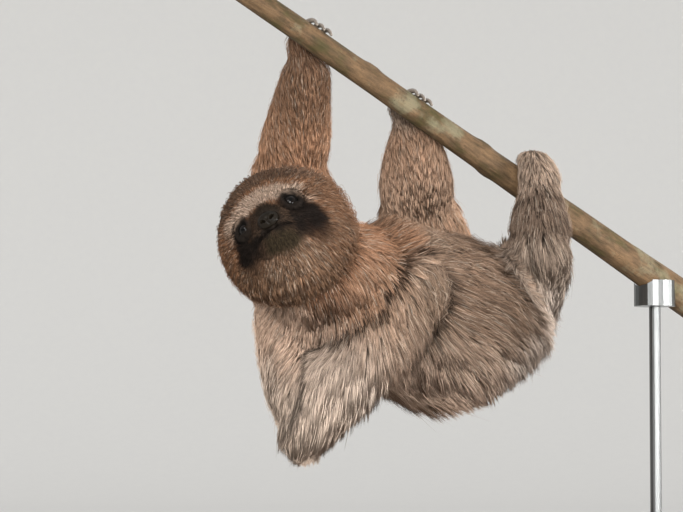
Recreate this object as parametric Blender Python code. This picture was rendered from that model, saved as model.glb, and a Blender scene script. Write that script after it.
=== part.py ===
"""A three-toed sloth hanging under a branch, as a still, life-size display model on a plain stand.

Metres, +Z up. The origin is the centre of the stand's underside, so Z = 0 is the shelf it stands on. The
branch runs along +X and slopes down; the sloth hangs belly up below it, its head towards -X and its right
side towards -Y. Left and right are the animal's own. Every solid reaches out to the tips of the coat.

Each length of the body is a lofted tube with round ends. Neighbours overlap like ball joints, and the one
named later is hollowed by a copy of the earlier one that is GAP larger, so that they meet with no overlap.
"""

import math

import bmesh
import bpy
import numpy as np
from mathutils import Vector

GAP = 0.0003

# The perch: a straight cut length of branch, thicker at its lower end.
BRANCH_HIGH_END = Vector((-0.208, -0.007, 0.3633))
BRANCH_LOW_END = Vector((0.198, 0.0047, 0.1658))
BRANCH_HIGH_RADIUS = 0.0078
BRANCH_LOW_RADIUS = 0.0122
TWIG_SCARS = (0.27, 0.50, 0.84)

# The skeleton, as joint centres.
HEAD_CENTRE = Vector((-0.183, -0.034, 0.199))
HEAD_FORWARD = Vector((-0.766, -0.585, 0.265))
HEAD_CROWN = Vector((-0.154, 0.568, 0.808))
THROAT = Vector((-0.160, -0.027, 0.184))
NECK_BASE = Vector((-0.128, -0.022, 0.172))
CHEST = Vector((-0.092, -0.016, 0.166))
WAIST = Vector((-0.040, 0.004, 0.152))
BELLY = Vector((0.000, 0.014, 0.1555))
PELVIS = Vector((0.034, 0.024, 0.162))
RUMP = Vector((0.054, 0.033, 0.168))
TAIL_ROOT = Vector((0.066, 0.051, 0.156))
TAIL_TIP = Vector((0.086, 0.078, 0.147))

LEFT_SHOULDER = Vector((-0.107, 0.027, 0.188))
LEFT_ELBOW = Vector((-0.108, 0.073, 0.249))
LEFT_WRIST = Vector((-0.129, 0.022, 0.312))
LEFT_PALM = Vector((-0.142, 0.014, 0.3325))
RIGHT_SHOULDER = Vector((-0.100, -0.053, 0.167))
RIGHT_ELBOW = Vector((-0.165, -0.030, 0.081))
RIGHT_WRIST = Vector((-0.164, 0.008, 0.158))
RIGHT_PALM = Vector((-0.159, 0.033, 0.178))

LEFT_HIP = Vector((0.014, 0.056, 0.170))
LEFT_KNEE = Vector((-0.0115, 0.057, 0.228))
LEFT_ANKLE = Vector((-0.042, 0.021, 0.280))
LEFT_SOLE = Vector((-0.058, 0.015, 0.295))
RIGHT_HIP = Vector((0.031, -0.007, 0.171))
RIGHT_KNEE = Vector((0.021, -0.036, 0.197))
RIGHT_ANKLE = Vector((0.031, -0.024, 0.239))
RIGHT_SOLE = Vector((0.041, -0.008, 0.2605))

# The head, in its own frame: forward, to the animal's left, and towards the crown.
HEAD_HALF_LENGTH = 0.039
HEAD_HALF_WIDTH = 0.0435
HEAD_HALF_HEIGHT = 0.0430
EYE_RADIUS = 0.0053
EYE_PLACE = (0.0305, 0.0160, 0.0026)
NOSE_PLACE = (0.0440, 0.0, -0.0060)
NOSE_HALF_SIZE = (0.0040, 0.0068, 0.0052)

# The stand.
BASE_LENGTH = 0.36
BASE_WIDTH = 0.22
BASE_HEIGHT = 0.012
BASE_CORNER = 0.02
BASE_EDGE = 0.0015
ROD_X = 0.155
ROD_RADIUS = 0.004
FLANGE_RADIUS = 0.014
FLANGE_HEIGHT = 0.005
CRADLE_RADIUS = 0.0145
CRADLE_HEIGHT = 0.020
CRADLE_TOP_BELOW = 0.002

FUR_BROWN = (0.26, 0.18, 0.13, 1.0)
FUR_PALE = (0.42, 0.32, 0.25, 1.0)
FACE_DARK = (0.09, 0.06, 0.045, 1.0)
EYE_BLACK = (0.012, 0.009, 0.008, 1.0)
NOSE_BLACK = (0.025, 0.019, 0.015, 1.0)
CLAW_HORN = (0.40, 0.36, 0.30, 1.0)
BARK = (0.22, 0.17, 0.12, 1.0)
BASE_WALNUT = (0.055, 0.038, 0.028, 1.0)
STEEL = (0.55, 0.55, 0.54, 1.0)


def material(name, colour, roughness, metallic=0.0):
    """A Principled BSDF material in one finish."""
    finish = bpy.data.materials.new(name)
    finish.use_nodes = True
    shader = finish.node_tree.nodes["Principled BSDF"]
    shader.inputs["Base Color"].default_value = colour
    shader.inputs["Roughness"].default_value = roughness
    shader.inputs["Metallic"].default_value = metallic
    return finish


def mesh_object(name, points, faces, finish=None):
    """One named object from points and faces, smooth shaded with its faces pointing out."""
    mesh = bpy.data.meshes.new(name)
    mesh.from_pydata([tuple(p) for p in points], [], faces)
    builder = bmesh.new()
    builder.from_mesh(mesh)
    quads = [face for face in builder.faces if len(face.verts) == 4]
    bmesh.ops.triangulate(builder, faces=quads, quad_method="FIXED")
    bmesh.ops.recalc_face_normals(builder, faces=builder.faces)
    builder.to_mesh(mesh)
    builder.free()
    mesh.shade_smooth()
    mesh.set_sharp_from_angle(angle=math.radians(35))
    if finish:
        mesh.materials.append(finish)
    thing = bpy.data.objects.new(name, mesh)
    bpy.context.scene.collection.objects.link(thing)
    return thing


def smooth_through(stations, steps):
    """Catmull-Rom through the rows of stations, with the given number of steps between two rows."""
    rows = np.array(stations, dtype=float)
    padded = np.vstack([2 * rows[0] - rows[1], rows, 2 * rows[-1] - rows[-2]])
    result = []
    for a, b, c, d in zip(padded, padded[1:], padded[2:], padded[3:]):
        for t in np.arange(steps) / steps:
            result.append(0.5 * (2 * b + (c - a) * t + (2 * a - 5 * b + 4 * c - d) * t**2
                                 + (3 * b - a - 3 * c + d) * t**3))
    return np.array(result + [rows[-1]])


def loft(stations, side, sides, steps, round_ends=True):
    """Points and faces of a tube with elliptic rings.

    A station is (centre, half width along side, half depth across it). Each end is a dome as deep as its
    ring is wide, or with round_ends off a flat face.
    """
    rows = smooth_through([(*centre, width, depth) for centre, width, depth in stations], steps)
    centres, widths, depths = rows[:, :3], rows[:, 3], rows[:, 4]
    along = np.gradient(centres, axis=0)
    along /= np.linalg.norm(along, axis=1)[:, None]
    if round_ends:
        rings = 3
        lifts = np.sin(np.arange(1, rings) / rings * math.pi / 2)[::-1]
        shrink = np.sqrt(1 - lifts**2)
        head_reach, tail_reach = widths[0], widths[-1]
        centres = np.vstack([centres[0] - np.outer(lifts, along[0]) * head_reach, centres,
                             centres[-1] + np.outer(lifts[::-1], along[-1]) * tail_reach])
        widths = np.concatenate([widths[0] * shrink, widths, widths[-1] * shrink[::-1]])
        depths = np.concatenate([depths[0] * shrink, depths, depths[-1] * shrink[::-1]])
        poles = [centres[rings - 1] - along[0] * head_reach, centres[-rings] + along[-1] * tail_reach]
        along = np.vstack([[along[0]] * (rings - 1), along, [along[-1]] * (rings - 1)])
    else:
        poles = [centres[0], centres[-1]]
    across = np.asarray(side, dtype=float) - along * (along @ np.asarray(side, dtype=float))[:, None]
    across /= np.linalg.norm(across, axis=1)[:, None]
    upward = np.cross(along, across)
    turn = np.arange(sides) / sides * 2 * math.pi
    points = (centres[:, None] + across[:, None] * (widths[:, None] * np.cos(turn))[..., None]
              + upward[:, None] * (depths[:, None] * np.sin(turn))[..., None]).reshape(-1, 3)
    count = len(centres)
    first, last, base = len(points), len(points) + 1, (count - 1) * sides
    faces = []
    for j in range(sides):
        k = (j + 1) % sides
        faces += [(i * sides + j, i * sides + k, (i + 1) * sides + k, (i + 1) * sides + j)
                  for i in range(count - 1)]
        faces += [(first, k, j), (last, base + j, base + k)]
    return np.vstack([points, poles]), faces


def grown(stations, by):
    """The same stations with every radius larger."""
    return [(centre, width + by, depth + by) for centre, width, depth in stations]


cutters = {}


def hide(cutter):
    cutter.hide_render = True
    cutter.display_type = "WIRE"


def cut(thing, *names):
    """Hollow an object by the enlarged copies of earlier pieces."""
    for name in names:
        boolean = thing.modifiers.new(name, "BOOLEAN")
        boolean.operation = "DIFFERENCE"
        boolean.object = cutters[name]


def flesh(name, stations, side, finish, meets=(), sides=12, steps=3, round_ends=True):
    """A lofted length of the body, and the enlarged copy that hollows its later neighbours."""
    thing = mesh_object(name, *loft(stations, side, sides, steps, round_ends), finish)
    cutters[name] = mesh_object(name + "_cutter", *loft(grown(stations, GAP), side, sides, steps, round_ends))
    hide(cutters[name])
    cut(thing, *meets)
    return thing


def between(a, b, share):
    """The point at this share of the way from a to b."""
    return a.lerp(b, share)


for old in list(bpy.data.objects):
    bpy.data.objects.remove(old)

fur_brown = material("fur_brown", FUR_BROWN, 0.85)
fur_pale = material("fur_pale", FUR_PALE, 0.85)
face_dark = material("face_dark", FACE_DARK, 0.8)
eye_black = material("eye_black", EYE_BLACK, 0.08)
nose_black = material("nose_black", NOSE_BLACK, 0.45)
claw_horn = material("claw_horn", CLAW_HORN, 0.4)
bark = material("bark", BARK, 0.8)
base_walnut = material("base_walnut", BASE_WALNUT, 0.45)
steel = material("steel", STEEL, 0.35, 1.0)

# ---------------------------------------------------------------- the perch

branch_axis = (BRANCH_LOW_END - BRANCH_HIGH_END).normalized()
branch_far = Vector((0, 0, 1)).cross(branch_axis).normalized()
branch_up = branch_axis.cross(branch_far)


def along_branch(x):
    """The share of the branch's length at which this X lies."""
    return (x - BRANCH_HIGH_END.x) / (BRANCH_LOW_END.x - BRANCH_HIGH_END.x)


def on_branch(x):
    """The point of the branch's centre line at this X."""
    return BRANCH_HIGH_END.lerp(BRANCH_LOW_END, along_branch(x))


def branch_radius(share):
    """It grows towards the low end, with a faint swell at each of the twig scars."""
    swell = sum(math.exp(-(((share - scar) / 0.03) ** 2)) for scar in TWIG_SCARS)
    taper = BRANCH_HIGH_RADIUS + (BRANCH_LOW_RADIUS - BRANCH_HIGH_RADIUS) * share**2
    return taper * (1 + 0.03 * math.sin(9 * share + 1) + 0.07 * swell)


BRANCH_STATIONS = 13
branch_stations = []
for station in range(BRANCH_STATIONS):
    share = station / (BRANCH_STATIONS - 1)
    radius = branch_radius(share)
    branch_stations.append((BRANCH_HIGH_END.lerp(BRANCH_LOW_END, share), radius, radius))
flesh("perch_branch", branch_stations, branch_far, bark, sides=12, steps=1, round_ends=False)

# ---------------------------------------------------------------- the head

head_left = HEAD_CROWN.cross(HEAD_FORWARD).normalized()
head_crown = HEAD_FORWARD.cross(head_left).normalized()
head_forward = HEAD_FORWARD.normalized()
head_frame = np.array([head_forward, head_left, head_crown])


def in_head(place):
    """A place given as forward, left and crown, in world coordinates."""
    return HEAD_CENTRE + Vector(np.asarray(place, dtype=float) @ head_frame)


def globe(rows, columns):
    """Unit directions from the middle of a globe with its poles on the first axis, and the faces."""
    polar = np.linspace(0, math.pi, rows + 1)[1:-1]
    turn = np.arange(columns) / columns * 2 * math.pi
    toward = np.stack(np.broadcast_arrays(np.cos(polar)[:, None], np.sin(polar)[:, None] * np.cos(turn),
                                          np.sin(polar)[:, None] * np.sin(turn)), -1).reshape(-1, 3)
    toward = np.vstack([toward, [(1, 0, 0), (-1, 0, 0)]])
    rings = rows - 1
    first, last, base = rings * columns, rings * columns + 1, (rings - 1) * columns
    faces = []
    for j in range(columns):
        k = (j + 1) % columns
        faces += [(i * columns + j, i * columns + k, (i + 1) * columns + k, (i + 1) * columns + j)
                  for i in range(rings - 1)]
        faces += [(first, k, j), (last, base + j, base + k)]
    return toward, faces


# Swellings and hollows of the head: direction from its middle, height, angular spread. Those with a second
# direction number are on both sides.
HEAD_FORMS = (
    ((1.0, 0.0, -0.16), 0.0070, 0.28),
    ((0.80, 0.0, -0.60), 0.0025, 0.28),
    ((0.83, 0.0, 0.56), 0.0010, 0.25),
    ((0.25, 0.0, -0.97), 0.0040, 0.50),
    ((0.05, 0.0, 1.0), 0.0058, 0.55),
    ((0.88, 0.46, 0.09), -0.0038, 0.20),
    ((0.55, 0.62, -0.56), 0.0030, 0.40),
    ((0.10, 0.80, -0.60), 0.0030, 0.40),
    ((-0.40, 0.80, 0.50), 0.0050, 0.40),
)


def head_surface(grow=0.0):
    """A globe whose radius is an ellipsoid's plus, for each form, a bell curve of the angle from it."""
    toward, faces = globe(rows=20, columns=28)
    toward = toward[:, (1, 0, 2)]
    half = np.array([HEAD_HALF_LENGTH, HEAD_HALF_WIDTH, HEAD_HALF_HEIGHT])
    radius = 1 / np.linalg.norm(toward / half, axis=1)
    for (ahead, left, up), height, spread in HEAD_FORMS:
        for aim in {(ahead, left, up), (ahead, -left, up)}:
            angle = np.arccos(np.clip(toward @ np.array(aim) / np.linalg.norm(aim), -1, 1))
            radius += height * np.exp(-((angle / spread) ** 2) / 2)
    return np.array(HEAD_CENTRE) + (toward * (radius + grow)[:, None]) @ head_frame, faces


def ball(place, half_size, grow=0.0):
    """An ellipsoid set in the head, with its pole forward."""
    toward, faces = globe(rows=8, columns=12)
    return np.array(in_head(place)) + toward * (np.array(half_size) + grow) @ head_frame, faces


def set_in_head(name, place, half_size, finish):
    """An eye or the nose pad, and the socket that it leaves in the head."""
    mesh_object(name, *ball(place, half_size), finish)
    cutters[name] = mesh_object(name + "_socket", *ball(place, half_size, GAP))
    hide(cutters[name])


for side, way in (("left", 1), ("right", -1)):
    forward, out, above = EYE_PLACE
    set_in_head("eye_" + side, (forward, out * way, above), (EYE_RADIUS,) * 3, eye_black)
set_in_head("nose", NOSE_PLACE, NOSE_HALF_SIZE, nose_black)

head = mesh_object("head", *head_surface(), face_dark)
cutters["head"] = mesh_object("head_cutter", *head_surface(GAP))
hide(cutters["head"])
cut(head, "eye_left", "eye_right", "nose")

# ---------------------------------------------------------------- neck, trunk and tail

body_side = Vector((0.295, -0.939, 0.0))

flesh("trunk", [
    (CHEST, 0.050, 0.053),
    (WAIST, 0.059, 0.064),
    (BELLY, 0.056, 0.056),
    (PELVIS, 0.043, 0.044),
    (RUMP, 0.029, 0.030),
], body_side, fur_brown, sides=20, steps=2)

flesh("neck", [
    (THROAT, 0.034, 0.036),
    (NECK_BASE, 0.042, 0.044),
], body_side, fur_brown, meets=("head", "trunk"), sides=16)

flesh("tail", [
    (TAIL_ROOT, 0.0155, 0.014),
    (TAIL_TIP, 0.010, 0.009),
], body_side, fur_brown, meets=("trunk",), sides=10)

# ---------------------------------------------------------------- claws

CLAW_SIDES = 5
CLAW_STEPS = 6
CLAW_ROOT_RADIUS = 0.0026
CLAW_TIP_RADIUS = 0.0010
CLAW_SPACING = 0.0058
HOOK_ROOT_OFF_BRANCH = 0.0041
HOOK_TIP_OFF_BRANCH = 0.0024
HOOK_FROM_BEHIND = (14, 140)
HOOK_FROM_ABOVE = (110, -40)
FINGER_LENGTH = 0.006
CURL_RADIUS = 0.017
CURL_ANGLE = 120


def claw(name, centres):
    """One curved claw, thick at its root and blunt at its tip, with the socket that it leaves in the toes."""
    shares = np.linspace(0, 1, len(centres))
    radii = CLAW_ROOT_RADIUS + (CLAW_TIP_RADIUS - CLAW_ROOT_RADIUS) * shares**1.5
    stations = [(centre, radius, radius) for centre, radius in zip(centres, radii)]
    side = np.cross(centres[-1] - centres[0], centres[len(centres) // 2] - centres[0])
    flesh(name, stations, side, claw_horn, sides=CLAW_SIDES, steps=1)


def hooked_claws(limb, x, angles):
    """Three claws round the branch at this X, each an arc about its axis that closes in on it.

    The angles, in degrees, are 0 on the branch's far side and 90 on top.
    """
    turn = np.radians(np.linspace(*angles, CLAW_STEPS + 1))
    off_branch = np.linspace(HOOK_ROOT_OFF_BRANCH, HOOK_TIP_OFF_BRANCH, CLAW_STEPS + 1)
    reach = branch_radius(along_branch(x)) + off_branch
    arc = (np.outer(np.cos(turn), branch_far) + np.outer(np.sin(turn), branch_up)) * reach[:, None]
    for i in range(3):
        claw(f"{limb}_claw_{i + 1}", np.array(on_branch(x + (i - 1) * CLAW_SPACING)) + arc)


def curled_claws(limb, palm, forward, inward):
    """Three claws that leave the fingers forward and curl inward in an arc."""
    forward, inward = forward.normalized(), inward.normalized()
    spread = forward.cross(inward).normalized()
    turn = np.radians(np.linspace(0, CURL_ANGLE, CLAW_STEPS + 1))
    arc = CURL_RADIUS * (np.outer(np.sin(turn), forward) + np.outer(1 - np.cos(turn), inward))
    for i in range(3):
        root = palm + spread * (i - 1) * CLAW_SPACING + forward * FINGER_LENGTH
        claw(f"{limb}_claw_{i + 1}", np.array(root) + arc)


hooked_claws("left_hand", LEFT_PALM.x, HOOK_FROM_BEHIND)
hooked_claws("left_foot", LEFT_SOLE.x - 0.001, HOOK_FROM_BEHIND)
hooked_claws("right_foot", RIGHT_SOLE.x + 0.006, HOOK_FROM_ABOVE)
curled_claws("right_hand", RIGHT_PALM, Vector((0.05, 0.55, 0.83)), Vector((0.85, 0.42, -0.33)))


def claws_of(limb):
    return tuple(f"{limb}_claw_{i}" for i in (1, 2, 3))


# ---------------------------------------------------------------- left arm, up and over the branch

limb_side = Vector((0.8, -0.57, 0.0))


def limb(name, start, end, radii, finish, meets, side=limb_side, flat=0.93):
    """A length of limb from joint to joint, with its half width at even shares of the way."""
    last = len(radii) - 1
    stations = [(between(start, end, i / last), radius, radius * flat) for i, radius in enumerate(radii)]
    flesh(name, stations, side, finish, meets)


limb("left_upper_arm", LEFT_SHOULDER, LEFT_ELBOW, (0.0290, 0.0285, 0.0295), fur_brown,
     ("neck", "head", "trunk"))
limb("left_forearm", LEFT_ELBOW, LEFT_WRIST, (0.0240, 0.0262, 0.0228, 0.0190), fur_brown,
     ("left_upper_arm", "head", "perch_branch"))
limb("left_hand", LEFT_WRIST, LEFT_PALM, (0.0125, 0.0110, 0.0095), fur_brown,
     ("left_forearm", "perch_branch") + claws_of("left_hand"), branch_axis)

# ---------------------------------------------------------------- right arm, folded under the chin

limb("right_upper_arm", RIGHT_SHOULDER, RIGHT_ELBOW, (0.0270, 0.0265, 0.0220), fur_pale,
     ("trunk", "neck", "head"))
limb("right_forearm", RIGHT_ELBOW, RIGHT_WRIST, (0.0165, 0.0220, 0.0205, 0.0160), fur_pale,
     ("right_upper_arm", "trunk", "neck", "head"))
limb("right_hand", RIGHT_WRIST, RIGHT_PALM, (0.0115, 0.0125, 0.0110), fur_brown,
     ("right_forearm", "trunk", "neck", "head") + claws_of("right_hand"))

# ---------------------------------------------------------------- left leg, behind the branch

limb("left_thigh", LEFT_HIP, LEFT_KNEE, (0.0325, 0.0335, 0.0310), fur_brown, ("trunk",))
limb("left_shank", LEFT_KNEE, LEFT_ANKLE, (0.0258, 0.0285, 0.0250, 0.0175), fur_brown,
     ("left_thigh", "trunk", "perch_branch") + claws_of("left_foot"))
limb("left_foot", LEFT_ANKLE, LEFT_SOLE, (0.0125, 0.0115, 0.0100), fur_brown,
     ("left_shank", "perch_branch") + claws_of("left_foot"), branch_axis)

# ---------------------------------------------------------------- right leg, in front of the branch

limb("right_thigh", RIGHT_HIP, RIGHT_KNEE, (0.0275, 0.0280, 0.0250), fur_brown, ("trunk",))
limb("right_shank", RIGHT_KNEE, between(RIGHT_KNEE, RIGHT_ANKLE, 0.8), (0.0200, 0.0235, 0.0205), fur_brown,
     ("right_thigh", "trunk", "perch_branch"))
flesh("right_foot", [
    (RIGHT_ANKLE, 0.0160, 0.0145),
    (between(RIGHT_ANKLE, RIGHT_SOLE, 0.5), 0.0185, 0.0160),
    (RIGHT_SOLE, 0.0160, 0.0115),
    (RIGHT_SOLE + Vector((0.006, 0.014, -0.004)), 0.0110, 0.0085),
], branch_axis, fur_brown, meets=("right_shank", "perch_branch") + claws_of("right_foot"))

# ---------------------------------------------------------------- the stand


def turned(name, x, y, low, high, radius, finish, sides=24, meets=()):
    """An upright cylinder between two heights."""
    turn = np.arange(sides) / sides * 2 * math.pi
    ring = np.stack([x + radius * np.cos(turn), y + radius * np.sin(turn)], -1)
    points = [(*p, low) for p in ring] + [(*p, high) for p in ring]
    faces = [(j, (j + 1) % sides, sides + (j + 1) % sides, sides + j) for j in range(sides)]
    faces += [tuple(range(sides))[::-1], tuple(range(sides, 2 * sides))]
    cut(mesh_object(name, points, faces, finish), *meets)


def base_plate():
    """A flat plate with round corners and softened edges, its underside on the floor."""
    corner_steps = 6
    outline = []
    for corner in range(4):
        for i in range(corner_steps + 1):
            turn = (corner + i / corner_steps) * math.pi / 2
            sx = 1 if corner in (0, 3) else -1
            sy = 1 if corner in (0, 1) else -1
            outline.append((sx * (BASE_LENGTH / 2 - BASE_CORNER) + BASE_CORNER * math.cos(turn),
                            sy * (BASE_WIDTH / 2 - BASE_CORNER) + BASE_CORNER * math.sin(turn)))
    count = len(outline)
    points = [(x, y, z) for z in (0.0, BASE_HEIGHT) for x, y in outline]
    faces = [(j, (j + 1) % count, count + (j + 1) % count, count + j) for j in range(count)]
    faces += [tuple(range(count))[::-1], tuple(range(count, 2 * count))]
    plate = mesh_object("stand_base", points, faces, base_walnut)
    soften = plate.modifiers.new("edge", "BEVEL")
    soften.width = BASE_EDGE
    soften.segments = 1
    soften.limit_method = "ANGLE"
    soften.angle_limit = math.radians(60)


cradle_centre = on_branch(ROD_X)
cradle_low = cradle_centre.z - CRADLE_HEIGHT
flange_low = BASE_HEIGHT + GAP
flange_high = flange_low + FLANGE_HEIGHT
base_plate()
turned("stand_flange", ROD_X, cradle_centre.y, flange_low, flange_high, FLANGE_RADIUS, steel)
turned("stand_rod", ROD_X, cradle_centre.y, flange_high + GAP, cradle_low - GAP, ROD_RADIUS, steel, sides=16)
turned("stand_cradle", ROD_X, cradle_centre.y, cradle_low, cradle_centre.z - CRADLE_TOP_BELOW, CRADLE_RADIUS,
       steel, meets=("perch_branch",))
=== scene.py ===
"""The looks of a three-toed sloth that hangs under a branch, as a life-size model on a plain stand.

Metres, +Z up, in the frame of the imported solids: the branch runs along +X and slopes down, and the sloth
hangs belly up below it with its head towards -X. Left and right are the animal's own.
"""

import math

import bmesh
import bpy
import numpy as np
from mathutils import Matrix, Vector


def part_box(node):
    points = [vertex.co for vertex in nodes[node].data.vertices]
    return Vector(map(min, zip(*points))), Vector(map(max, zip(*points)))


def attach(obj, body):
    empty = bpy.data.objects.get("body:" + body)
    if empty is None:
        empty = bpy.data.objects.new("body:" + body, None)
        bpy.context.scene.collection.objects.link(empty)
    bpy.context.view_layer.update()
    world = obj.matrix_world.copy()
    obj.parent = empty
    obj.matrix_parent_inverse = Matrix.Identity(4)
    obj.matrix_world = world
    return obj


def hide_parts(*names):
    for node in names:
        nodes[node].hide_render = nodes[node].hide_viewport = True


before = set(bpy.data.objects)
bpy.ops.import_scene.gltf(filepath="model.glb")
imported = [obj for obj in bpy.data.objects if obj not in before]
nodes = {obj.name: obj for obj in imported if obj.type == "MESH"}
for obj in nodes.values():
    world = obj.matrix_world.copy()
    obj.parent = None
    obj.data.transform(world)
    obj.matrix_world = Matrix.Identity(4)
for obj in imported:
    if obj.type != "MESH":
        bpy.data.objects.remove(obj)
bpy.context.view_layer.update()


# ---- The base plate --------------------------------------------------
# A flat walnut board with rounded corners and eased edges, planed and rubbed with oil. The grain runs along
# its length. The CAD node's shape is right and stays.


class Wire:
    """A node's output. Arithmetic on it adds Math nodes."""

    def __init__(self, finish, socket):
        self.finish = finish
        self.socket = socket

    def maths(self, operation, first, second):
        return self.finish.node("ShaderNodeMath", {"operation": operation}, {0: first, 1: second})

    def __add__(self, other):
        return self.maths("ADD", self, other)

    def __rsub__(self, other):
        return self.maths("SUBTRACT", other, self)

    def __mul__(self, other):
        return self.maths("MULTIPLY", self, other)


class Finish:
    """A material on one Principled BSDF. What is the same all over is set on the shader's own sockets."""

    def __init__(self, name, **constants):
        self.material = bpy.data.materials.new(name)
        self.material.use_nodes = True
        self.tree = self.material.node_tree
        self.shader = self.tree.nodes["Principled BSDF"]
        for socket, value in constants.items():
            self.shader.inputs[socket.replace("_", " ")].default_value = value

    def feed(self, socket, value):
        if isinstance(value, Wire):
            self.tree.links.new(value.socket, socket)
        else:
            socket.default_value = value

    def node(self, kind, settings=None, inputs=None, output=0):
        """One node: its settings, then a number, colour or Wire for each of the named sockets."""
        made = self.tree.nodes.new(kind)
        for setting, value in (settings or {}).items():
            if setting == "stops":
                for place, colour in value[2:]:
                    made.color_ramp.elements.new(place)
                for element, (place, colour) in zip(made.color_ramp.elements, value):
                    element.position = place
                    element.color = colour
            else:
                setattr(made, setting, value)
        for socket, value in (inputs or {}).items():
            self.feed(made.inputs[socket], value)
        return Wire(self, made.outputs[output])

    def place(self, stretch=(1, 1, 1), turn=(0, 0, 0)):
        """Object coordinates for a pattern that is turned, and then stretched along its own axes."""
        here = self.node("ShaderNodeTexCoord", output="Object")
        return self.node("ShaderNodeMapping", {"vector_type": "TEXTURE"},
                         {"Vector": here, "Rotation": turn, "Scale": stretch})

    def noise(self, where, scale, detail=4.0, roughness=0.5):
        sizes = {"Vector": where, "Scale": scale, "Detail": detail, "Roughness": roughness}
        return self.node("ShaderNodeTexNoise", None, sizes)

    def ramp(self, value, *stops):
        return self.node("ShaderNodeValToRGB", {"stops": stops}, {"Fac": value})

    def mix(self, share, first, second):
        return self.node("ShaderNodeMix", {"data_type": "RGBA"}, {0: share, 6: first, 7: second}, 2)

    def relief(self, height, distance):
        """Bumps as deep as distance where height is 1."""
        sizes = {"Height": height, "Distance": distance, "Strength": 1.0}
        self.vary(Normal=self.node("ShaderNodeBump", None, sizes))

    def vary(self, **links):
        for socket, wire in links.items():
            self.feed(self.shader.inputs[socket.replace("_", " ")], wire)

    def onto(self, node):
        """Finishes a CAD node that keeps its own shape."""
        nodes[node].data.materials.clear()
        nodes[node].data.materials.append(self.material)


def paint(red, green, blue):
    """A colour given as a screen shows it, 0 to 255 a channel, as linear RGBA."""
    shown = np.array((red, green, blue)) / 255
    linear = np.where(shown <= 0.04045, shown / 12.92, ((shown + 0.055) / 1.055) ** 2.4)
    return (*linear.tolist(), 1.0)


WALNUT_DARK = paint(58, 38, 27)
WALNUT_MIDDLE = paint(92, 62, 43)
WALNUT_LIGHT = paint(118, 84, 60)

walnut = Finish("oiled_walnut", Specular_IOR_Level=0.1)
along_grain = walnut.place(stretch=(9, 1, 1))
figure = walnut.noise(along_grain, 80.0, 5.0)
pores = walnut.noise(walnut.place(stretch=(22, 1, 1)), 1100.0, 2.0)
rings = walnut.node("ShaderNodeTexWave", {"bands_direction": "Y"},
                    {"Vector": along_grain, "Scale": 18.0, "Distortion": 9.0, "Detail": 3.0}, 1)
board = walnut.ramp(figure * 0.8 + rings * 0.2,
                    (0.28, WALNUT_DARK), (0.75, WALNUT_LIGHT), (0.5, WALNUT_MIDDLE))
walnut.vary(Base_Color=walnut.mix(walnut.ramp(pores, (0.52, (0, 0, 0, 1)), (0.62, (0.7, 0.7, 0.7, 1))),
                                  board, WALNUT_DARK),
            Roughness=pores * 0.25 + 0.55)
walnut.relief(1 - pores, 0.0003)
walnut.onto("stand_base")


# ---- The rod, its flange and the cradle ------------------------------
# One 8 mm rod of stainless steel, brushed along its length, screwed into a turned flange on the base. A
# short turned cradle at its top is glued up into the underside of the branch.

STEEL_LIGHT = paint(104, 105, 104)
STEEL_DARK = paint(78, 79, 79)

steel = Finish("brushed_steel", Metallic=1.0)
scratches = steel.noise(steel.place(stretch=(1, 1, 70)), 2000.0, 3.0)
smears = steel.noise(steel.place(), 35.0, 2.0)
steel.vary(Base_Color=steel.mix(scratches, STEEL_DARK, STEEL_LIGHT),
           Roughness=scratches * 0.18 + smears * 0.14 + 0.18)
steel.relief(scratches, 0.00003)
for fitting in ("stand_rod", "stand_flange", "stand_cradle"):
    steel.onto(fitting)


# ---- The branch ------------------------------------------------------
# A cut length of a living branch, two centimetres thick, with thin smooth bark that has dried into fine
# lengthwise wrinkles, a few old leaf knots and pale patches of lichen. Both ends are sawn square.


def read(items, what, width, kind=np.float32):
    """One property of all items of a mesh, as an array with this many columns."""
    values = np.empty(len(items) * width, kind)
    items.foreach_get(what, values)
    return values.reshape(-1, width)


def mesh_of(name, points, *face_sets):
    """A smooth mesh from an array of points and arrays of faces, each with its own number of corners."""
    corners = np.concatenate([faces.ravel() for faces in face_sets])
    sizes = np.concatenate([np.full(len(faces), faces.shape[1]) for faces in face_sets])
    mesh = bpy.data.meshes.new(name)
    mesh.vertices.add(len(points))
    mesh.vertices.foreach_set("co", points.astype(np.float32).ravel())
    mesh.loops.add(len(corners))
    mesh.loops.foreach_set("vertex_index", corners.astype(np.int32))
    mesh.polygons.add(len(sizes))
    mesh.polygons.foreach_set("loop_start", (np.cumsum(sizes) - sizes).astype(np.int32))
    mesh.update(calc_edges=True)
    mesh.shade_smooth()
    return mesh


def grid(down, columns):
    """What changes down a surface's rows, and the turn round its columns, each as an array of its shape."""
    return np.meshgrid(down, np.linspace(0, 2 * math.pi, columns, endpoint=False), indexing="ij")


def surface(name, points, poles=True):
    """A mesh over a grid of points, whose rows run along it and whose columns close round it.

    Seen from outside, the columns run clockwise about the way the rows go. With poles, a fan from the
    middle of the first and last row closes each end.
    """
    rows, columns = points.shape[:2]
    here = np.arange(rows * columns).reshape(rows, columns)
    beside = np.roll(here, -1, axis=1)
    quads = np.stack([here[:-1], here[1:], beside[1:], beside[:-1]], -1).reshape(-1, 4)
    if not poles:
        return mesh_of(name, points.reshape(-1, 3), quads)
    first, last = rows * columns, rows * columns + 1
    fans = np.concatenate([
        np.stack([np.full(columns, first), here[0], beside[0]], -1),
        np.stack([np.full(columns, last), beside[-1], here[-1]], -1),
    ])
    every = np.concatenate([points.reshape(-1, 3), points[[0, -1]].mean(1)])
    return mesh_of(name, every, quads, fans)


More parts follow.
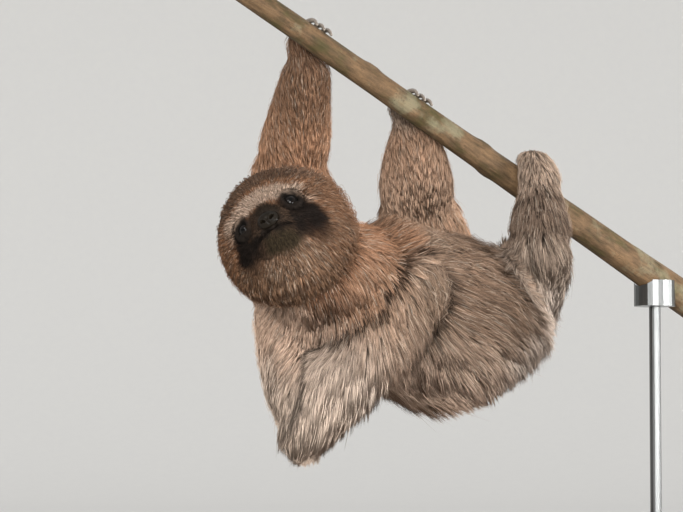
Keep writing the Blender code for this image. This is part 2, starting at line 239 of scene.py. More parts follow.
def tint(mesh, name, values):
    """Stores a colour for each vertex, which the finish reads by its name."""
    colours = np.ones((len(mesh.vertices), 4), np.float32)
    colours[:, :3] = values
    mesh.color_attributes.new(name, "FLOAT_COLOR", "POINT").data.foreach_set("color", colours.ravel())


def placed(name, data):
    made = bpy.data.objects.new(name, data)
    bpy.context.scene.collection.objects.link(made)
    return made


def show(name, mesh, finish, slot, *stands_for):
    """A finished piece that rides on the root and stands for these solids."""
    mesh.materials.append(finish.material)
    made = placed(name, mesh)
    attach(made, "root")
    if stands_for:
        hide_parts(*stands_for)
    return made


def unit(vectors):
    return vectors / np.maximum(np.linalg.norm(vectors, axis=-1, keepdims=True), 1e-12)


def ripples(points, size, seed, waves=14):
    """Soft noise from -1 to 1 with bumps of this size: the mean of plane waves in random directions."""
    random = np.random.default_rng(seed)
    pitch = unit(random.normal(size=(waves, 3))) * random.uniform(0.6, 1.7, (waves, 1)) * math.pi / size
    return np.sin(points @ pitch.T + random.uniform(0, 2 * math.pi, waves)).sum(1) / math.sqrt(waves)


BARK_TAN = paint(88, 69, 49)
BARK_BROWN = paint(65, 50, 35)
BARK_DARK = paint(38, 30, 21)
MOSS = paint(56, 53, 27)
LICHEN = paint(96, 92, 74)
SAWN_PALE = paint(136, 116, 88)
SAWN_RING = paint(104, 83, 59)
# Share of the length and turn round the branch of each leaf knot.
KNOTS = ((0.14, 2.0), (0.27, 0.2), (0.31, -1.1), (0.50, 0.5), (0.53, -2.2), (0.70, 2.6), (0.84, -0.3))
KNOT_HEIGHT = 0.0016
KNOT_LENGTH = 0.006
BRANCH_ROWS = 260
BRANCH_COLUMNS = 72

branch_points = read(nodes["perch_branch"].data.vertices, "co", 3).astype(float)
spine = np.linalg.svd(branch_points - branch_points.mean(0), full_matrices=False)[2][0]
spine = spine * np.sign(spine[0])
how_far = (branch_points - branch_points.mean(0)) @ spine
high_end = branch_points[how_far < how_far.min() + 0.001].mean(0)
low_end = branch_points[how_far > how_far.max() - 0.001].mean(0)
branch_length = np.linalg.norm(low_end - high_end)
down_it = (branch_points - high_end) @ spine / branch_length
off_axis = np.linalg.norm(branch_points - high_end - np.outer(down_it * branch_length, spine), axis=1)
on_bark = off_axis > 0.8 * off_axis.max() * (0.6 + 0.4 * down_it)
taper = np.polyfit(down_it[on_bark], off_axis[on_bark], 2)
branch_up = unit(np.array((0.0, 0.0, 1.0)) - spine[2] * spine)
branch_side = np.cross(spine, branch_up)


def branch_surface():
    """A round bar with wrinkles along it and a bump for each knot. The end rows are the saw cuts."""
    along, round_it = grid(np.linspace(0, 1, BRANCH_ROWS), BRANCH_COLUMNS)
    on_bar = np.stack([along * branch_length * 6, np.cos(round_it) * 0.4, np.sin(round_it) * 0.4], -1)
    wrinkles = ripples((on_bar * (0.4, 1, 1)).reshape(-1, 3), 0.09, 5).reshape(along.shape)
    swell = ripples(on_bar.reshape(-1, 3), 0.5, 6).reshape(along.shape)
    radius = np.polyval(taper, along) * (0.972 + 0.012 * wrinkles + 0.02 * swell)
    for place, facing in KNOTS:
        apart = np.angle(np.exp(1j * (round_it - facing)))
        reach = ((along - place) * branch_length / KNOT_LENGTH) ** 2 + (apart / 0.45) ** 2
        radius += KNOT_HEIGHT * (np.exp(-reach) - 0.55 * np.exp(-reach * 5))
    radial = np.cos(round_it)[..., None] * branch_up + np.sin(round_it)[..., None] * branch_side
    centre = high_end + along[..., None] * branch_length * spine
    bark = centre + radius[..., None] * radial
    cut = np.array((0.96, 0.75, 0.5, 0.25))[:, None, None]
    start = high_end + cut * (bark[0] - high_end)
    end = low_end + cut * (bark[-1] - low_end)
    return np.concatenate([start[::-1], bark, end])


bark = Finish("thin_bark", Specular_IOR_Level=0.08)
lengthwise = Vector(spine).to_track_quat("X", "Z").to_euler()
streaks = bark.noise(bark.place((6, 1, 1), lengthwise), 500.0, 5.0, 0.6)
mottle = bark.noise(bark.place((2, 1, 1), lengthwise), 75.0, 4.0, 0.6)
patches = bark.noise(bark.place(), 42.0, 4.0, 0.6)
specks = bark.noise(bark.place(), 900.0, 2.0)
scales = bark.node("ShaderNodeTexVoronoi", {"feature": "DISTANCE_TO_EDGE"},
                   {"Vector": bark.place((3, 1, 1), lengthwise), "Scale": 300.0})
grey_brown = bark.ramp(streaks * 0.45 + mottle * 0.55,
                       (0.36, BARK_DARK), (0.64, BARK_TAN), (0.5, BARK_BROWN))
mossy = bark.mix(bark.ramp(mottle, (0.36, (0.5, 0.5, 0.5, 1)), (0.5, (0, 0, 0, 1))), grey_brown, MOSS)
lichened = bark.mix(bark.ramp(patches, (0.55, (0, 0, 0, 1)), (0.68, (0.6, 0.6, 0.6, 1))), mossy, LICHEN)
speckled = bark.mix(bark.ramp(specks, (0.6, (0, 0, 0, 1)), (0.7, (0.5, 0.5, 0.5, 1))), lichened, BARK_DARK)
bark.vary(Base_Color=speckled, Roughness=mottle * 0.2 + 0.62)
bark.relief(streaks * 0.7 + scales * 0.6 + specks * 0.2, 0.0006)

branch_mesh = surface("perch", branch_surface())
sawn = Finish("sawn_wood", Roughness=0.75, Specular_IOR_Level=0.2)
growth = sawn.noise(sawn.place((50, 1, 1), lengthwise), 700.0, 3.0)
sawn.vary(Base_Color=sawn.mix(growth, SAWN_RING, SAWN_PALE))
sawn.relief(growth, 0.0002)
show("perch", branch_mesh, bark, "bark", "perch_branch")
branch_mesh.materials.append(sawn.material)
along_branch = (read(branch_mesh.polygons, "center", 3) - high_end) @ spine
on_cut = (along_branch < 0.00002) | (along_branch > branch_length - 0.00002)
branch_mesh.polygons.foreach_set("material_index", on_cut.astype(np.int32))


# ---- The skin --------------------------------------------------------
# One unbroken hide over the whole animal, from the lips to the heels, that lies inside the coat. On a
# mounted animal it is tanned skin over a carved form, so it is modelled as one closed surface.

SIDES = ("left", "right")
LIMB_PARTS = ("upper_arm", "forearm", "hand", "thigh", "shank", "foot")
FLESH = ["head", "neck", "trunk", "tail"] + [f"{side}_{part}" for side in SIDES for part in LIMB_PARTS]
SKIN_VOXEL = 0.0021

# The coat's colours, as the hair shows them in daylight. A few also carry painted light, as noted beside
# them.
CREAM = (206, 190, 172)
PALE_ARM = (166, 148, 133)
ELBOW = (158, 140, 125)
# Lighter than the hair: painted light on the arm's lower edge, which lies in shade beside the flank.
ARM_EDGE_PAINTED_LIGHT = (200, 184, 170)
# Lighter than the hair: painted light on the forearm and throat, which lie in the shade under the chin.
INNER_ARM_PAINTED_LIGHT = (172, 145, 125)
UPPER_ARM = (142, 118, 100)
SHOULDER = (110, 91, 76)
CHEST = (131, 95, 71)
NECK = (148, 114, 90)
THROAT = (105, 79, 63)
FLANK = (104, 84, 69)
# The next two are pale partly by the hair's own colour and partly by painted light that lifts the shaded
# underside.
LOW_FLANK_PARTLY_PAINTED_LIGHT = (154, 132, 115)
RUMP_PARTLY_PAINTED_LIGHT = (168, 154, 142)
BACK = (112, 90, 73)
NEAR_LEG = (122, 106, 93)
NEAR_KNEE = (100, 84, 72)
FAR_LEG = (163, 130, 106)
FAR_KNEE = (184, 152, 128)
FAR_ARM = (160, 121, 94)
WRIST = (126, 96, 75)
FOOT = (144, 124, 108)
TAIL = (128, 104, 87)

# How the coat lies on each part. A row is a place in shares of the part's box, the way the hair runs there,
# its length and its depth over the skin in millimetres, and its colour. Between rows it changes gradually.
COAT = {
    "head": (((0.5, 0.5, 0.5), (0.6, 0.2, -0.6), 10, 5, CHEST),),
    "neck": (
        ((0.25, 0.15, 0.35), (0.35, 0, -0.9), 16, 8, THROAT),
        ((0.19, 0.38, 0.20), (0, 0, -0.95), 17, 8, INNER_ARM_PAINTED_LIGHT),
        ((0.60, 0.10, 0.35), (0.45, 0, -0.85), 20, 9, NECK),
        ((0.60, 0.30, 0.95), (0.9, 0, 0.1), 18, 9, CHEST),
        ((0.60, 0.90, 0.50), (0.3, 0, -0.9), 20, 9, BACK),
    ),
    "trunk": (
        ((0.12, 0.10, 0.85), (0.85, 0, 0.35), 26, 9, CHEST),
        ((0.24, 0.10, 0.90), (0.88, 0, 0.35), 27, 10, SHOULDER),
        ((0.36, 0.10, 0.90), (0.95, 0, 0.15), 28, 10, FLANK),
        ((0.50, 0.40, 1.00), (0.95, -0.2, 0), 30, 11, FLANK),
        ((0.38, 0.05, 0.56), (0.97, 0, -0.2), 32, 11, FLANK),
        ((0.55, 0.15, 0.60), (0.95, 0, -0.3), 32, 11, FLANK),
        ((0.27, 0.14, 0.24), (0.5, 0, -0.85), 30, 11, LOW_FLANK_PARTLY_PAINTED_LIGHT),
        ((0.47, 0.25, 0.10), (0.65, 0, -0.75), 32, 11, LOW_FLANK_PARTLY_PAINTED_LIGHT),
        ((0.70, 0.20, 0.25), (0.75, 0, -0.65), 34, 11, RUMP_PARTLY_PAINTED_LIGHT),
        ((0.92, 0.45, 0.45), (0.5, 0, -0.85), 30, 10, RUMP_PARTLY_PAINTED_LIGHT),
        ((0.35, 0.95, 0.60), (0.7, 0, -0.7), 30, 11, BACK),
        ((0.65, 0.90, 0.40), (0.7, 0, -0.7), 30, 11, FLANK),
        ((0.40, 0.60, 0.02), (0.9, 0, -0.3), 32, 11, BACK),
    ),
    "tail": (((0.5, 0.5, 0.5), (0.1, 0.4, -0.9), 13, 5, TAIL),),
    "right_upper_arm": (
        ((0.75, 0.05, 0.85), (0.5, 0, -0.85), 23, 9, SHOULDER),
        ((0.52, 0.20, 0.78), (0.45, 0, -0.85), 24, 9, UPPER_ARM),
        ((0.62, 0.10, 0.50), (0.35, 0, -0.93), 28, 9, UPPER_ARM),
        ((0.30, 0.30, 0.50), (-0.25, 0, -0.95), 29, 9, PALE_ARM),
        ((0.38, 0.25, 0.28), (0, 0, -1), 31, 9, PALE_ARM),
        ((0.47, 0.28, 0.33), (0.1, 0, -1), 31, 9, ARM_EDGE_PAINTED_LIGHT),
        ((0.08, 0.50, 0.08), (-0.1, 0, -1), 24, 10, ELBOW),
    ),
    "right_forearm": (
        ((0.20, 0.45, 0.80), (-0.5, 0, -0.85), 17, 6, INNER_ARM_PAINTED_LIGHT),
        ((0.60, 0.20, 0.65), (-0.75, 0, -0.65), 20, 7, INNER_ARM_PAINTED_LIGHT),
        ((0.10, 0.40, 0.40), (-0.4, 0, -0.9), 22, 7, PALE_ARM),
        ((0.35, 0.05, 0.20), (-0.35, 0, -0.93), 25, 8, PALE_ARM),
    ),
    "right_hand": (((0.5, 0.5, 0.5), (-0.3, 0, -0.95), 8, 3, NECK),),
    "left_upper_arm": (
        ((0.5, 0.5, 0.9), (0.1, 0, -1), 12, 6, FAR_ARM),
        ((0.5, 0.5, 0.2), (0.1, 0, -1), 17, 8, BACK),
    ),
    "left_forearm": (
        ((0.5, 0.5, 0.1), (0.15, 0, -1), 11, 5, FAR_ARM),
        ((0.3, 0.2, 0.9), (0.1, 0, -1), 9, 4, WRIST),
    ),
    "left_hand": (((0.5, 0.5, 0.5), (0.25, 0, -0.95), 7, 3, WRIST),),
    "left_thigh": (
        ((0.5, 0.5, 0.8), (0.2, 0, -0.95), 16, 7, FAR_LEG),
        ((0.5, 0.5, 0.2), (0.4, 0, -0.9), 23, 10, FAR_LEG),
    ),
    "left_shank": (
        ((0.5, 0.5, 0.2), (0.15, 0, -1), 12, 6, FAR_KNEE),
        ((0.3, 0.3, 0.9), (0.15, 0, -1), 10, 4, FAR_LEG),
    ),
    "left_foot": (((0.5, 0.5, 0.5), (0.1, 0, -1), 7, 3, FOOT),),
    "right_thigh": (
        ((0.4, 0.3, 0.7), (0.1, 0, -1), 21, 8, NEAR_LEG),
        ((0.5, 0.4, 0.1), (0.45, 0, -0.9), 24, 10, RUMP_PARTLY_PAINTED_LIGHT),
    ),
    "right_shank": (((0.4, 0.3, 0.5), (0.05, 0, -1), 15, 6, NEAR_KNEE),),
    "right_foot": (
        ((0.4, 0.4, 0.4), (0.05, 0, -1), 10, 4, FOOT),
        ((0.8, 0.9, 0.7), (0.3, 0.3, -0.8), 7, 3, FOOT),
    ),
}

# The head's own frame: forward out of the face, to the animal's left, and up to the crown. The nose lies
# this far in front of and below the point between the eyes.
NOSE_AHEAD = 0.0135
NOSE_BELOW = 0.0086


def middle_of(node):
    low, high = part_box(node)
    return np.array((low + high) / 2)


left_eye = middle_of("eye_left")
right_eye = middle_of("eye_right")
nose_tip = middle_of("nose")
between_eyes = (left_eye + right_eye) / 2
leftward = unit(left_eye - right_eye)
bridge = unit(nose_tip - between_eyes - leftward * ((nose_tip - between_eyes) @ leftward))
bridge_up = np.cross(bridge, leftward)
slope = math.atan2(NOSE_BELOW, NOSE_AHEAD)
forward = math.cos(slope) * bridge + math.sin(slope) * bridge_up
crownward = np.cross(forward, leftward)
head_axes = np.stack([forward, leftward, crownward])


def in_head(points):
    """Places in the head's own frame, from the nose."""
    return (points - nose_tip) @ head_axes.T


def solid(node):
    """A CAD node's points and triangles, with its doubled corners merged."""
    mesh = nodes[node].data
    mesh.calc_loop_triangles()
    points = read(mesh.vertices, "co", 3)
    triangles = read(mesh.loop_triangles, "vertices", 3, np.int32)
    _, kept, merged = np.unique(points.round(6), axis=0, return_index=True, return_inverse=True)
    return points[kept], merged.ravel()[triangles]


def closed_hide():
    """The flesh solids as one surface of even quads: a voxel remesh bridges the hairline gaps between them.

    Each face keeps the number of the part it came from. Round the face the quads are then halved twice.
    """
    found, faces, part = [], [], []
    count = 0
    for number, name in enumerate(FLESH):
        points, triangles = solid(name)
        found.append(points)
        faces.append(triangles + count)
        part.append(np.full(len(triangles), number, np.int32))
        count += len(points)
    mesh = mesh_of("skin", np.concatenate(found), np.concatenate(faces))
    mesh.attributes.new("part", "INT", "FACE").data.foreach_set("value", np.concatenate(part))
    hide = placed("skin", mesh)
    bpy.context.view_layer.objects.active = hide
    hide.select_set(True)
    mesh.remesh_voxel_size = SKIN_VOXEL
    mesh.use_remesh_preserve_attributes = True
    bpy.ops.object.voxel_remesh()
    fine = bmesh.new()
    fine.from_mesh(mesh)
    for centre, reach in ((nose_tip, 0.046), (nose_tip, 0.027)):
        near = [edge for edge in fine.edges
                if all((corner.co - Vector(centre)).length < reach for corner in edge.verts)]
        bmesh.ops.subdivide_edges(fine, edges=near, cuts=1, use_grid_fill=True)
    fine.to_mesh(mesh)
    fine.free()
    return hide


hide = closed_hide()
skin = hide.data
skin_points = read(skin.vertices, "co", 3).astype(float)
skin_edges = read(skin.edges, "vertices", 2, np.int32)
corner_point = read(skin.loops, "vertex_index", 1, np.int32).ravel()
corners_of_face = read(skin.polygons, "loop_total", 1, np.int32).ravel()
part_of_face = read(skin.attributes["part"].data, "value", 1, np.int32).ravel()
part_of = np.zeros(len(skin_points), int)
part_of[corner_point] = np.repeat(part_of_face, corners_of_face)
neighbours = np.bincount(skin_edges.ravel(), minlength=len(skin_points))[:, None]


def settled(values, rounds):
    """Each vertex's values drawn towards the mean of its neighbours', again and again."""
    for _ in range(rounds):
        around = np.zeros_like(values)
        np.add.at(around, skin_edges[:, 0], values[skin_edges[:, 1]])
        np.add.at(around, skin_edges[:, 1], values[skin_edges[:, 0]])
        values = values + 0.5 * (around / neighbours - values)
    return values


def pigment(colour):
    return np.array(paint(*colour)[:3])


def coat_values(points, part):
    """Lie, length, depth and colour of the coat at each point, each row of COAT counting for more nearby."""
    values = np.zeros((len(points), 8))
    for number, name in enumerate(FLESH):
        low, high = (np.array(corner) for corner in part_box(name))
        places = np.array([low + np.array(row[0]) * (high - low) for row in COAT[name]])
        table = np.array([(*way, length / 1000, depth / 1000, *pigment(colour))
                          for _, way, length, depth, colour in COAT[name]])
        mine = part == number
        apart = ((points[mine][:, None] - places) ** 2).sum(-1)
        weight = (apart + 0.006**2) ** -1.6
        values[mine] = weight @ table / weight.sum(1, keepdims=True)
    return values


def smooth_step(value, start, end):
    share = np.clip((value - start) / (end - start), 0, 1)
    return share * share * (3 - 2 * share)


values = coat_values(skin_points, part_of)
in_face = in_head(skin_points)
from_nose = np.linalg.norm(in_face, axis=1)
on_head = (part_of == FLESH.index("head")).astype(float)[:, None]
head_lie = unit(in_face) @ head_axes - 0.6 * forward + np.array((0, 0, -0.25))
ruff = smooth_step(in_face[:, 1], 0.008, 0.03) * smooth_step(-in_face[:, 0], 0.02, 0.045)
beard = smooth_step(-in_face[:, 2], 0.018, 0.034)
nape = smooth_step(-in_face[:, 0], 0.012, 0.035)
head_values = np.column_stack([head_lie, 0.0018 + (0.11 + 0.09 * nape) * from_nose + 0.006 * (ruff + beard),
                               0.0007 + 0.075 * from_nose])
values[:, :5] += on_head * (head_values - values[:, :5])
values = settled(values, 14)
on_head = settled(on_head, 6)

normals = settled(read(skin.vertices, "normal", 3).astype(float), 4)
skin_points = settled(skin_points - unit(normals) * values[:, 4:5], 7)

# The markings of the head, and two strokes of painted shade below the corners of the mouth, drawn on a map of
# the
# directions from the middle of the skull: how far to the left and how far up a unit vector points. Most are
# strokes between two places, with a soft edge.
CROWN = (92, 70, 55)
CHEEK = (118, 84, 61)
TEMPLE = (92, 68, 51)
BROW = (166, 143, 125)
NOSE_BRIDGE = (38, 31, 24)
MUZZLE = (50, 40, 32)
MASK = (20, 16, 14)
JAW = (97, 74, 57)
CHIN_GREEN = (50, 43, 30)
CHIN = (112, 88, 70)
NOSE_REACH = 0.044
NOSE_DROP = 0.006
FACE_MARKS = (
    # colour, from, to, half width at each end, softness, strength
    (TEMPLE, (0.92, 0.25), (0.92, -0.40), 0.14, 0.14, 0.16, 0.8),
    (JAW, (-0.62, -0.50), (-0.30, -0.86), 0.14, 0.14, 0.16, 0.85),
    (JAW, (-0.30, -0.86), (0.30, -0.88), 0.14, 0.14, 0.14, 0.8),
    (JAW, (0.30, -0.88), (0.72, -0.56), 0.14, 0.12, 0.16, 0.75),
    (CHIN, (-0.20, -0.66), (0.20, -0.62), 0.12, 0.12, 0.14, 0.9),
    (BROW, (-0.70, 0.02), (-0.60, 0.30), 0.02, 0.05, 0.06, 0.45),
    (BROW, (-0.60, 0.30), (-0.20, 0.35), 0.08, 0.12, 0.08, 0.85),
    (BROW, (-0.20, 0.35), (0.30, 0.33), 0.12, 0.11, 0.08, 0.95),
    (BROW, (0.30, 0.33), (0.56, 0.27), 0.09, 0.06, 0.07, 0.9),
    (BROW, (0.58, 0.24), (0.68, -0.02), 0.04, 0.02, 0.06, 0.55),
    (MUZZLE, (-0.22, -0.06), (0.24, -0.14), 0.16, 0.16, 0.12, 0.95),
    (MUZZLE, (-0.26, -0.40), (0.30, -0.42), 0.09, 0.08, 0.10, 0.9),
    (CHIN_GREEN, (-0.08, -0.42), (0.12, -0.46), 0.07, 0.07, 0.12, 0.85),
    (NOSE_BRIDGE, (-0.02, 0.08), (0.06, -0.05), 0.07, 0.12, 0.06, 0.95),
    (MASK, (0.43, 0.11), (0.50, 0.00), 0.115, 0.12, 0.04, 1.0),
    (MASK, (0.50, 0.00), (0.56, -0.32), 0.12, 0.09, 0.08, 1.0),
    (MASK, (-0.44, 0.11), (-0.52, 0.00), 0.115, 0.12, 0.04, 1.0),
    (MASK, (-0.52, 0.00), (-0.56, -0.27), 0.12, 0.09, 0.08, 1.0),
    (MASK, (-0.30, -0.28), (0.00, -0.25), 0.025, 0.03, 0.03, 0.95),
    (MASK, (0.00, -0.25), (0.32, -0.33), 0.03, 0.03, 0.03, 0.95),
    (MASK, (0.32, -0.33), (0.52, -0.34), 0.04, 0.10, 0.09, 0.85),
    (MASK, (-0.30, -0.28), (-0.52, -0.29), 0.05, 0.10, 0.08, 0.9),
    (MASK, (0.44, 0.00), (0.37, -0.26), 0.07, 0.07, 0.07, 0.85),
    (MASK, (-0.44, -0.02), (-0.34, -0.28), 0.06, 0.06, 0.07, 0.8),
    # Two soft strokes of painted shade under the corners of the mouth, not markings of the coat.
    (MASK, (0.36, -0.42), (0.50, -0.46), 0.05, 0.08, 0.14, 0.7),
    (MASK, (-0.38, -0.34), (-0.50, -0.42), 0.06, 0.05, 0.12, 0.65),
)
CROWN_DIP = 0.30
CROWN_FROM = 0.52
CROWN_TO = 0.62


def face_map(points):
    """Unit vectors from the middle of the skull: forward, left and up."""
    return unit(in_head(points) + (NOSE_REACH, 0, -NOSE_DROP))


def markings(points, colour, head_share):
    """The coat's colour: what COAT gives, with soft blotches, and the drawing of the face over the head."""
    blotch = 1 + 0.07 * ripples(points, 0.03, 11) + 0.05 * ripples(points, 0.011, 12)
    ahead, left, up = face_map(points).T
    drawn = np.tile(pigment(CHEEK), (len(points), 1))
    edge = up + CROWN_DIP * left**2 + 0.03 * ripples(points, 0.012, 13)
    crown = smooth_step(edge, CROWN_FROM, CROWN_TO)[:, None]
    drawn += crown * (pigment(CROWN) - drawn)
    ragged = 0.018 * ripples(points, 0.005, 14)
    for shade, start, end, wide, wide_end, soft, strength in FACE_MARKS:
        start, end = np.array(start), np.array(end)
        place = np.column_stack([left, up])
        share = np.clip((place - start) @ (end - start) / ((end - start) @ (end - start)), 0, 1)
        apart = np.linalg.norm(place - start - share[:, None] * (end - start), axis=1) + ragged
        edge = wide + share * (wide_end - wide)
        cover = strength * (1 - smooth_step(apart, edge, edge + soft)) * (ahead > 0)
        drawn += cover[:, None] * (pigment(shade) - drawn)
    behind = smooth_step(-ahead, -0.25, 0.35)[:, None]
    drawn += behind * (colour - drawn)
    return (colour + head_share * (drawn - colour)) * blotch[:, None]


# The mouth runs across the muzzle below the nose, its corners a little lower than its middle.
MOUTH_BELOW = 0.0065
MOUTH_HALF_WIDTH = 0.0145
MOUTH_SAG = 0.0016
MOUTH_DEPTH = 0.0016
LIP = 0.0013
EYE_SOCKET = 0.0022


def to_mouth(points):
    """How far above the line of the mouth each point lies, and its share of the way to a corner."""
    ahead, left, up = in_head(points).T
    across = left / MOUTH_HALF_WIDTH
    return up + MOUTH_BELOW + MOUTH_SAG * across**2, np.abs(across), ahead


def relief_of_face(points, normals):
    """How far each point moves out: a groove between two soft lips, and the hollow that each eye lies in."""
    above, across, ahead = to_mouth(points)
    in_mouth = (1 - smooth_step(across, 0.85, 1.15)) * (ahead > -0.02)
    out = in_mouth * (0.0008 * np.exp(-((above - 0.0026) / 0.002) ** 2)
                      + 0.0010 * np.exp(-((above + 0.0030) / 0.0022) ** 2)
                      - MOUTH_DEPTH * np.exp(-(above / (LIP * 0.7)) ** 2))
    for eye in (left_eye, right_eye):
        apart = np.linalg.norm(points - eye, axis=1)
        out -= EYE_SOCKET * np.exp(-(apart / 0.0085) ** 4)
    return points + out[:, None] * normals


def normals_after(points):
    """Moves the skin's vertices to these places, and gives the normals there."""
    skin.vertices.foreach_set("co", points.astype(np.float32).ravel())
    skin.update()
    return read(skin.vertices, "normal", 3).astype(float)


skin_points = relief_of_face(skin_points, normals_after(skin_points))
normals = normals_after(skin_points)

# Where the right arm lies against the flank, the coat's colour is darkened in a narrow band along the seam:
# painted shade for the shadow in the crease between arm and flank.
FURROW_PAINTED_SHADE = 0.85
UNDERCOAT = 0.3
on_arm = settled((part_of == FLESH.index("right_upper_arm")).astype(float)[:, None], 5)
furrow_painted_shade = smooth_step(4 * on_arm * (1 - on_arm), 0.5, 0.9)
coat_colour = markings(skin_points, values[:, 5:8], on_head) * (1 - FURROW_PAINTED_SHADE * furrow_painted_shade)
tint(skin, "coat", coat_colour * UNDERCOAT)
bpy.ops.object.mode_set(mode="EDIT")
bpy.ops.mesh.select_all(action="SELECT")
bpy.ops.uv.smart_project(island_margin=0.002)
bpy.ops.object.mode_set(mode="OBJECT")
skin.uv_layers.active.name = "OFBake"
skin.shade_smooth()

DARK_FLECK = (0.02, 0.014, 0.01, 1.0)
hide_finish = Finish("skin", Roughness=0.8, Specular_IOR_Level=0.05)
hide_colour = hide_finish.node("ShaderNodeAttribute", {"attribute_name": "coat"})
wrinkle = hide_finish.noise(hide_finish.place(), 900.0, 3.0)
hide_finish.vary(Base_Color=hide_finish.mix(wrinkle * 0.5, hide_colour, DARK_FLECK))
hide_finish.relief(wrinkle, 0.0004)
skin.materials.append(hide_finish.material)
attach(hide, "root")
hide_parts(*FLESH)


# ---- The coat --------------------------------------------------------
# Long, coarse, slightly crimped guard hair that falls in narrow locks, over a short dark underfur. It is
# shortest round the nose, the eyes and the claws, and hangs in a shaggy fringe at the elbow. Each tuft is a
# closed, flattened, three-sided spindle that starts in the skin, rises through the coat and lies along it.

skin.calc_loop_triangles()
triangles = read(skin.loop_triangles, "vertices", 3, np.int32)
triangle_loops = read(skin.loop_triangles, "loops", 3, np.int32)
unwrapped = read(skin.uv_layers["OFBake"].data, "uv", 2).astype(float)
triangle_area = read(skin.loop_triangles, "area", 1).ravel().astype(float)

# Round each eye, out to this distance, the hair turns away from it instead.
EYE_HAIR_REACH = 0.011
lie = values[:, :3]
for eye in (left_eye, right_eye):
    away = skin_points - eye
    apart = np.linalg.norm(away, axis=1, keepdims=True)
    lie = lie + 3 * np.exp(-((apart / EYE_HAIR_REACH) ** 4)) * away / apart
lie = lie - normals * (lie * normals).sum(1, keepdims=True)
lie = unit(settled(unit(lie), 4))


def bend_along(lie):
    """How fast the skin curves away beneath a hair, in turns of one radian a metre, at each vertex.

    It is the turn of the normal along each edge, counted by how well that edge follows the lie.
    """
    start, end = skin_edges.T
    edge = skin_points[end] - skin_points[start]
    size = (edge**2).sum(1)
    turn = ((normals[end] - normals[start]) * edge).sum(1) / size
    total = np.zeros((len(skin_points), 2))
    for corner in (start, end):
        weight = (edge * lie[corner]).sum(1) ** 2 / size
        np.add.at(total, corner, np.column_stack([weight * turn, weight]))
    return np.clip(settled(total[:, :1] / np.maximum(total[:, 1:], 1e-6), 8), -40, 55)


# The share of hairs that stand out of the coat, which is greatest in the ruff behind the left cheek.
untidy = 0.06 + 0.14 * ruff * on_head[:, 0]
# Where the near arm's hair would point out of the skin, under the elbow, it hangs down as a short fringe.
near_arm = np.isin(part_of, [FLESH.index("right_upper_arm"), FLESH.index("right_forearm")])
hanging = near_arm * np.clip((unit(values[:, :3]) * normals).sum(1), 0, 1) ** 2
# In columns: place, normal, lie, length and depth, colour, bend, untidiness and hang.
skin_fields = np.column_stack([skin_points, normals, lie, values[:, 3:5], coat_colour, bend_along(lie),
                               untidy, settled(hanging[:, None], 4)])
PATCH = 0.003

# A tuft is a three-sided spindle: its root, a ring of three corners at this share of its length, and its tip.
WIDEST = 0.45


def tuft_shape():
    """Corner numbers of a tuft's six faces, and each corner's place on its patch: round it, and along it."""
    faces, patch = [], []
    for side, (left, right) in enumerate(((1, 2), (2, 3), (3, 1))):
        start, middle, end = side / 3, (side + 0.5) / 3, (side + 1) / 3
        faces += [(right, left, 0), (left, right, 4)]
        patch += [((end, WIDEST), (start, WIDEST), (middle, 0)),
                  ((start, WIDEST), (end, WIDEST), (middle, 1))]
    return np.array(faces), np.array(patch)


def scattered(chosen, count, random):
    """Fields and unwrapped places of tuft roots, spread evenly over the chosen triangles."""
    area = np.cumsum(triangle_area * chosen)
    pick = np.searchsorted(area, (np.arange(count) + random.random(count)) / count * area[-1])
    pick = np.minimum(pick, len(area) - 1)
    first, second = np.sqrt(random.random(count)), random.random(count)
    shares = np.stack([1 - first, first * (1 - second), first * second], -1)[:, :, None]
    fields = (skin_fields[triangles[pick]] * shares).sum(1)
    return fields, (unwrapped[triangle_loops[pick]] * shares).sum(1)


def gathered(roots, size, values, seed):
    """The mean of the values over all tufts whose roots share a cell of this size, with ragged cell walls."""
    warp = np.column_stack([ripples(roots, size * 2.2, seed + axis) for axis in range(3)]) * size * 0.5
    cells = np.floor((roots + warp) / size).astype(int)
    _, cell = np.unique(cells, axis=0, return_inverse=True)
    cell = cell.ravel()
    total = np.zeros((cell.max() + 1, values.shape[1]))
    np.add.at(total, cell, values)
    return (total / np.bincount(cell)[:, None])[cell], cell


# How tufts differ: the least and most of what the skin gives at the root, or the spread of a normal draw.
LENGTHS = (0.72, 1.12)
LIFTS = (0.35, 1.0)
WIDTHS = (0.65, 1.25)
WILD_LENGTHS = (1.1, 1.6)
WILD_WIDTH = 0.6
# Stray hairs take this one lighter shade: painted light for strays that catch the light.
WILD_PAINTED_LIGHT = 1.3
STRAY = 0.08
SWAY = 0.05
LOCK_SHADE = 0.15
TUFT_SHADE = 0.22
DARK_SHARE = 0.18
DARKNESS = 0.4
LIGHT_SHARE = 0.12
LIGHTNESS = 0.34
# How far a tip is drawn into its lock, and into a wider lock round that, how far a hair sags in shares of
# its length, how deep in the skin it starts, and the length from which it is as wide as its piece allows.
LOCK_PULL = 0.7
WIDE_LOCK = 2.6
WIDE_PULL = 0.15
SAG = 0.10
ROOT_DEPTH = 0.0004
FULL_WIDTH_LENGTH = 0.012


